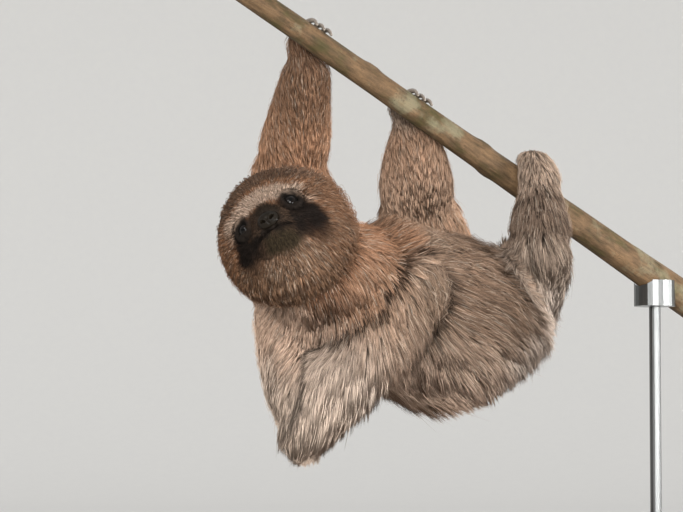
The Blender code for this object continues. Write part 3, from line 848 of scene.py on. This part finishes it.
def tufts(name, chosen, count, half_width, lock, contrast, seed):
    """A coat piece: count closed tufts over the chosen triangles of the skin.

    A centre line starts at its root, follows the skin's bend along the lie, rises to the coat's depth as
    1 - (1 - t)^2, and is drawn towards the middle of its lock as t^1.5. A flattened ring of three
    corners stands round it where the tuft is widest.
    """
    random = np.random.default_rng(seed)
    fields, places = scattered(chosen, count, random)
    keep = bare_of_coat(fields[:, :3])
    fields, places = fields[keep], places[keep]
    count = len(fields)
    root, normal, lie = fields[:, :3], unit(fields[:, 3:6]), fields[:, 6:9]
    length, depth, colour, bend = fields[:, 9], fields[:, 10], fields[:, 11:14], fields[:, 14]
    untidy, hanging = fields[:, 15], fields[:, 16]
    lie = unit(lie - normal * (lie * normal).sum(1, keepdims=True))
    sideways = np.cross(normal, lie)
    stray = 0.12 * ripples(root, 0.02, 21) + 0.06 * ripples(root, 0.006, 22) + random.normal(0, STRAY, count)
    lie = unit(lie + sideways * stray[:, None])
    sideways = np.cross(normal, lie)
    length = length * random.uniform(*LENGTHS, count)
    lift = depth * random.uniform(*LIFTS, count) ** 0.8
    wild = random.random(count) < untidy
    lift = np.where(wild, depth * random.uniform(1.15, 1.3 + 7 * untidy), lift)
    length = np.where(wild, length * random.uniform(*WILD_LENGTHS, count), length)
    lift = lift + 0.25 * length * hanging
    length = length * (1 - 0.65 * hanging)
    sway = random.normal(0, SWAY, count) * length
    width = half_width * random.uniform(*WIDTHS, count) * np.clip(length / FULL_WIDTH_LENGTH, 0.55, 1.25)
    width = np.where(wild, width * WILD_WIDTH, width)

    def centre_line(share):
        reach = length * share
        angle = bend * reach
        run = reach * np.sinc(angle / math.pi)
        drop = reach * angle / 2 * np.sinc(angle / 2 / math.pi) ** 2
        rise = lift * (1 - (1 - share) ** 2)
        out = normal * np.cos(angle)[:, None] + lie * np.sin(angle)[:, None]
        line = root + lie * run[:, None] - normal * (drop + ROOT_DEPTH)[:, None] + out * rise[:, None]
        line = line + sideways * (sway * share**2)[:, None]
        line[:, 2] -= SAG * length * share**2
        return line, out

    tip = centre_line(1.0)[0]
    lock_tip, lock_number = gathered(root, lock, tip, seed)
    wide_tip, _ = gathered(root, lock * WIDE_LOCK, tip, seed + 7)
    pull = LOCK_PULL * (lock_tip - tip) + WIDE_PULL * (wide_tip - tip)
    line, out = centre_line(WIDEST)
    line = line + pull * WIDEST**1.5
    ring = [line + (sideways * math.cos(turn) + out * (0.4 * math.sin(turn))) * width[:, None]
            for turn in (math.radians(90), math.radians(210), math.radians(330))]
    points = np.stack([centre_line(0.0)[0], *ring, tip + pull], 1)

    face, patch = tuft_shape()
    faces = (np.arange(count)[:, None, None] * 5 + face).reshape(-1, 3)
    mesh = mesh_of(name, points.reshape(-1, 3), faces)
    spots = places[:, None, None, :] + PATCH * (patch[None] - 0.5)
    mesh.uv_layers.new(name="OFBake").data.foreach_set("uv", spots.clip(0, 1).astype(np.float32).ravel())

    lock_shade = random.normal(0, LOCK_SHADE, lock_number.max() + 1)[lock_number]
    shade = np.exp(lock_shade + random.normal(0, TUFT_SHADE, count)) ** contrast
    dark = np.where(random.random(count) < DARK_SHARE, DARKNESS**contrast, 1.0)
    # Stray hairs take one fixed, lighter shade: painted light for strays that catch the light.
    shade = np.where(wild, WILD_PAINTED_LIGHT, shade * dark)
    light = (random.random(count) < LIGHT_SHARE) * LIGHTNESS * smooth_step(colour.mean(1), 0.03, 0.12)
    colour = colour * shade[:, None] + light[:, None] * (pigment(CREAM) - colour)
    fade = (0.40 + 0.70 * np.array((0, WIDEST, WIDEST, WIDEST, 1)) ** 0.8)[None, :, None]
    tint(mesh, "coat", (colour[:, None, :] * fade).reshape(-1, 3).clip(0, 1))
    return show(name, mesh, hair, "fur_brown")


def bare_of_coat(points):
    """False where no hair grows: on the nose leather, on the lids and along the line of the mouth."""
    ahead, left, up = in_head(points).T
    nose = (ahead / 0.006) ** 2 + (left / 0.0073) ** 2 + (up / 0.0056) ** 2 > 1
    above, across, ahead = to_mouth(points)
    mouth = (np.abs(above) > 0.0006) | (across > 1.0) | (ahead < -0.02)
    eyes = np.minimum(np.linalg.norm(points - left_eye, axis=1), np.linalg.norm(points - right_eye, axis=1))
    return nose & mouth & (eyes > 0.0061)


hair = Finish("sloth_hair", Roughness=0.7, Specular_IOR_Level=0.03)
hair_colour = hair.node("ShaderNodeAttribute", {"attribute_name": "coat"})
fleck = hair.noise(hair.place(), 1400.0, 2.0)
hair.vary(Base_Color=hair.mix(fleck * 0.35, hair_colour, DARK_FLECK))

owner = part_of[triangles[:, 0]]
triangle_middle = skin_points[triangles].mean(1)
facing = face_map(triangle_middle)[:, 0]
near_side = triangle_middle[:, 1] < np.array(sum(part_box("trunk"), Vector()))[1] / 2


def of_parts(*names):
    return np.isin(owner, [FLESH.index(name) for name in names])


COAT_PIECES = (
    # name, its part of the skin, tufts, half width, width of a lock, how much the shade varies
    ("coat_face", of_parts("head") & (facing > 0.35), 32500, 0.00037, 0.0014, 1.0),
    ("coat_crown", of_parts("head") & (facing <= 0.35), 25000, 0.00033, 0.0012, 1.0),
    ("coat_neck", of_parts("neck"), 18500, 0.00030, 0.0028, 1.0),
    ("coat_right_flank", of_parts("trunk") & near_side, 33000, 0.00031, 0.0032, 1.0),
    ("coat_left_flank", of_parts("trunk", "tail") & ~near_side, 27500, 0.00034, 0.0034, 1.0),
    ("coat_right_upper_arm", of_parts("right_upper_arm"), 30000, 0.00030, 0.0032, 1.0),
    ("coat_right_forearm", of_parts("right_forearm", "right_hand"), 17500, 0.00030, 0.0030, 1.0),
    ("coat_left_arm", of_parts("left_upper_arm", "left_forearm", "left_hand"), 23500, 0.00030, 0.0030, 0.45),
    ("coat_left_leg", of_parts("left_thigh", "left_shank", "left_foot"), 21000, 0.00031, 0.0030, 0.45),
    ("coat_right_leg", of_parts("right_thigh", "right_shank", "right_foot"), 21000, 0.00030, 0.0030, 1.0),
)
for seed, piece in enumerate(COAT_PIECES, 100):
    tufts(*piece, seed * 10)


# ---- The eyes --------------------------------------------------------
# Small glass eyes, almost black: a dark brown iris with fine spokes round a black pupil, under a clear
# bulging cornea. Each is set deep between two lids of bare dark skin, whose edge is a thin raised rim.

EYE_RADIUS = np.array(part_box("eye_left")[1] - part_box("eye_left")[0]).mean() / 2
EYE_OUTWARD = 0.38
EYE_UPWARD = -0.05
IRIS = paint(13, 9, 7)
IRIS_EDGE = paint(5, 4, 4)
PUPIL = paint(3, 3, 3)
LID_SKIN = paint(4, 3, 3)
LID_WORN = paint(8, 7, 5)
LID_OPENING = 0.66


def eye_axes(side):
    """Where an eye looks, and two directions across it. Side is 1 for the left eye and -1 for the right."""
    gaze = unit(forward + side * EYE_OUTWARD * leftward + EYE_UPWARD * crownward)
    across = unit(np.cross(crownward, gaze))
    return gaze, across, np.cross(gaze, across)


def on_globe(centre, side, angle, turn, radius):
    """Points at this angle from the gaze and this turn round it."""
    gaze, across, up = eye_axes(side)
    ring = np.cos(turn)[..., None] * across + np.sin(turn)[..., None] * up
    return centre + radius[..., None] * (np.cos(angle)[..., None] * gaze + np.sin(angle)[..., None] * ring)


eye_glass = Finish("glass_eye", Roughness=0.03, Specular_IOR_Level=0.1)
eye_colour = eye_glass.node("ShaderNodeAttribute", {"attribute_name": "iris"})
eye_glass.vary(Base_Color=eye_glass.mix(eye_glass.noise(eye_glass.place(), 1500.0, 2.0) * 0.4,
                                        eye_colour, PUPIL))
lid_skin = Finish("lid_skin", Roughness=0.75, Specular_IOR_Level=0.03)
lid_grain = lid_skin.noise(lid_skin.place(), 1600.0, 3.0)
lid_skin.vary(Base_Color=lid_skin.mix(lid_grain, LID_SKIN, LID_WORN))
lid_skin.relief(lid_grain, 0.00015)

for name, centre, side in (("left", left_eye, 1), ("right", right_eye, -1)):
    angle, turn = grid(np.linspace(0.02, math.pi - 0.02, 40), 64)
    cornea = EYE_RADIUS * (0.985 + 0.045 * np.exp(-((angle / 0.62) ** 4)))
    globe = surface(f"glass_eye_{name}", on_globe(centre, side, angle, turn, cornea))
    from_gaze = np.append(angle.ravel(), [0, math.pi])
    spokes = 1 + 0.35 * np.append(np.sin(turn.ravel() * 37 + 3 * np.sin(turn.ravel() * 5)), [0, 0])
    tone = np.outer(spokes, IRIS[:3])
    tone += smooth_step(from_gaze, 0.55, 0.85)[:, None] * (np.array(IRIS_EDGE[:3]) - tone)
    tone += (1 - smooth_step(from_gaze, 0.22, 0.27))[:, None] * (np.array(PUPIL[:3]) - tone)
    tint(globe, "iris", tone)
    show(f"glass_eye_{name}", globe, eye_glass, "eye", f"eye_{name}")

    # The lids: a rim rolled over the globe, almond shaped, with two fine creases outside it.
    step, turn = grid(np.linspace(0, 1, 18), 96)
    opening = LID_OPENING + 0.08 * np.cos(2 * turn) - 0.04 * np.cos(turn) * side
    angle = opening + step * (1.75 - opening)
    rim = np.exp(-(((step - 0.10) / 0.085) ** 2)) * 0.00055
    creases = 0.00016 * np.cos(step * 26) * np.exp(-(((step - 0.4) / 0.25) ** 2))
    radius = EYE_RADIUS * 1.0 - 0.0003 + np.minimum(step / 0.05, 1) * 0.00045 + rim + creases
    lids = surface(f"lids_{name}", on_globe(centre, side, angle, turn, radius), poles=False)
    show(f"lids_{name}", lids, lid_skin, "fur_face")


# ---- The nose --------------------------------------------------------
# A pad of bare, black, finely pebbled leather with two forward-facing nostrils and a short groove below.

NOSE_BLACK = paint(9, 7, 5)
NOSE_WORN = paint(24, 19, 13)
NOSTRIL_PLACE = (0.0032, -0.0008)
NOSTRIL_SIZE = (0.0013, 0.0010)
NOSTRIL_DEPTH = 0.0026
nose_size = np.array((0.0041, 0.0069, 0.0053))

angle, turn = grid(np.linspace(0.02, math.pi - 0.02, 90), 140)
local = np.stack([np.cos(angle), np.sin(angle) * np.cos(turn), np.sin(angle) * np.sin(turn)], -1)
local = np.sign(local) * np.abs(local) ** np.array((0.9, 0.92, 0.92)) * nose_size
front = smooth_step(local[..., 0], 0.0, 0.002)
for side in (1, -1):
    aside = (local[..., 1] * side - NOSTRIL_PLACE[0]) / NOSTRIL_SIZE[0]
    above = (local[..., 2] - NOSTRIL_PLACE[1] - 0.35 * (local[..., 1] * side - NOSTRIL_PLACE[0]))
    apart = np.hypot(aside, above / NOSTRIL_SIZE[1])
    local[..., 0] -= front * NOSTRIL_DEPTH * np.exp(-(apart**4))
    local[..., 0] += front * 0.0005 * np.exp(-(((apart - 1.7) / 0.6) ** 2))
groove = np.exp(-((local[..., 1] / 0.0005) ** 2)) * smooth_step(-local[..., 2], -0.001, 0.003)
local[..., 0] -= front * 0.0007 * groove
nose_leather = Finish("nose_leather", Specular_IOR_Level=0.03, Coat_Weight=0.08, Coat_Roughness=0.15)
pebbles = nose_leather.node("ShaderNodeTexVoronoi", {"feature": "DISTANCE_TO_EDGE"},
                            {"Vector": nose_leather.place(), "Scale": 1500.0})
wear = nose_leather.noise(nose_leather.place(), 300.0, 3.0)
nose_leather.vary(Base_Color=nose_leather.mix(wear, NOSE_BLACK, NOSE_WORN), Roughness=wear * 0.2 + 0.48)
nose_leather.relief(pebbles, 0.0002)
show("nose_leather", surface("nose_leather", nose_tip + local @ head_axes), nose_leather, "nose", "nose")


# ---- The claws -------------------------------------------------------
# Three long hooks on each foot, of pale grey horn, flattened from side to side and grown in fine ridges
# along their length. Each follows its CAD solid, rounded by a subdivision surface.

HORN_PALE = paint(112, 102, 90)
HORN_GREY = paint(84, 74, 64)
HORN_DARK = paint(54, 45, 37)
CLAW_SWELL = 0.0002

horn = Finish("claw_horn", Coat_Weight=0.2, Coat_Roughness=0.25, Specular_IOR_Level=0.45)
ridges = horn.noise(horn.place(stretch=(1, 4, 4)), 2600.0, 3.0)
clouds = horn.noise(horn.place(), 180.0, 3.0)
horn.vary(Base_Color=horn.mix(clouds, horn.mix(ridges, HORN_GREY, HORN_PALE),
                              horn.mix(ridges, HORN_DARK, HORN_GREY)),
          Roughness=clouds * 0.2 + 0.32)
horn.relief(ridges, 0.0002)
for foot in ("left_hand", "right_hand", "left_foot", "right_foot"):
    for digit in (1, 2, 3):
        node = f"{foot}_claw_{digit}"
        claw_mesh = mesh_of(f"horn_{node}", *solid(node))
        full = read(claw_mesh.vertices, "co", 3) + CLAW_SWELL * read(claw_mesh.vertices, "normal", 3)
        claw_mesh.vertices.foreach_set("co", full.ravel())
        claw = show(f"horn_{node}", claw_mesh, horn, "claw", node)
        rounding = claw.modifiers.new("Rounding", "SUBSURF")
        rounding.levels = 2
        rounding.render_levels = 2


# ---- The floor, the light and the camera -----------------------------
# A pale studio floor that sweeps up into its own backdrop all round, lit by large soft panels.

FLOOR_RADIUS = 4.0
SWEEP_RADIUS = 1.6
FLOOR_PALE = paint(208, 207, 205)
FLOOR_WARM = paint(211, 210, 207)

sweep = np.linspace(0, math.pi / 2, 24)
profile_out = np.concatenate([np.geomspace(0.001, FLOOR_RADIUS, 14),
                              FLOOR_RADIUS + SWEEP_RADIUS * np.sin(sweep)])
profile_up = np.concatenate([np.zeros(14), SWEEP_RADIUS * (1 - np.cos(sweep))])
out, turn = grid(profile_out, 96)
bowl = np.stack([out * np.cos(turn), out * np.sin(turn), grid(profile_up, 96)[0]], -1)
floor_mesh = surface("floor", bowl, poles=False)
studio = Finish("studio_paper", Roughness=0.95, Specular_IOR_Level=0.1)
studio.vary(Base_Color=studio.mix(studio.noise(studio.place(), 60.0, 2.0), FLOOR_PALE, FLOOR_WARM))
floor_mesh.materials.append(studio.material)
placed("floor", floor_mesh)

world = bpy.data.worlds.new("studio")
world.use_nodes = True
backdrop = world.node_tree.nodes["Background"].inputs
backdrop["Color"].default_value = (1.0, 1.0, 1.0, 1.0)
backdrop["Strength"].default_value = 0.95
bpy.context.scene.world = world

CAMERA_TURN = math.radians(35)
CAMERA_RISE = math.radians(4)
CAMERA_DISTANCE = 2.15
VIEW_WIDTH = 0.444
SENSOR_WIDTH = 36.0
aim = nose_tip + np.array((0.0908, 0.0501, -0.0158))
view_line = np.array((math.sin(CAMERA_TURN) * math.cos(CAMERA_RISE),
                      math.cos(CAMERA_TURN) * math.cos(CAMERA_RISE), math.sin(CAMERA_RISE)))
to_right = np.array((math.cos(CAMERA_TURN), -math.sin(CAMERA_TURN), 0.0))
to_top = np.cross(to_right, view_line)


def lamp(name, place, size, watts):
    """A square soft panel at a place given as steps right, up and back from the sloth, facing it."""
    light = bpy.data.lights.new(name, "AREA")
    light.size = size
    light.energy = watts
    panel = placed(name, light)
    right, up, back = place
    offset = right * to_right + np.array((0, 0, up)) + back * np.array((view_line[0], view_line[1], 0))
    panel.location = aim + offset
    panel.rotation_euler = Vector(-offset).to_track_quat("-Z", "Y").to_euler()


lamp("key", (-1.0, 0.9, -1.5), 0.8, 20)
lamp("front", (-0.2, 0.25, -2.4), 1.0, 102)
lamp("low", (0.6, -0.14, -0.9), 0.3, 10)
lamp("behind", (1.0, -0.1, -0.1), 0.3, 22)
lamp("top", (0.1, 1.8, 0.5), 1.4, 5)
lamp("back", (0.8, 0.9, 1.6), 1.2, 12)

camera_data = bpy.data.cameras.new("camera")
camera_data.sensor_width = SENSOR_WIDTH
camera_data.lens = SENSOR_WIDTH * CAMERA_DISTANCE / VIEW_WIDTH
camera = placed("camera", camera_data)
facing_camera = Matrix((to_right, to_top, -view_line)).transposed().to_4x4()
camera.matrix_world = Matrix.Translation(aim - CAMERA_DISTANCE * view_line) @ facing_camera
bpy.context.scene.camera = camera
bpy.context.scene.view_settings.view_transform = "Standard"
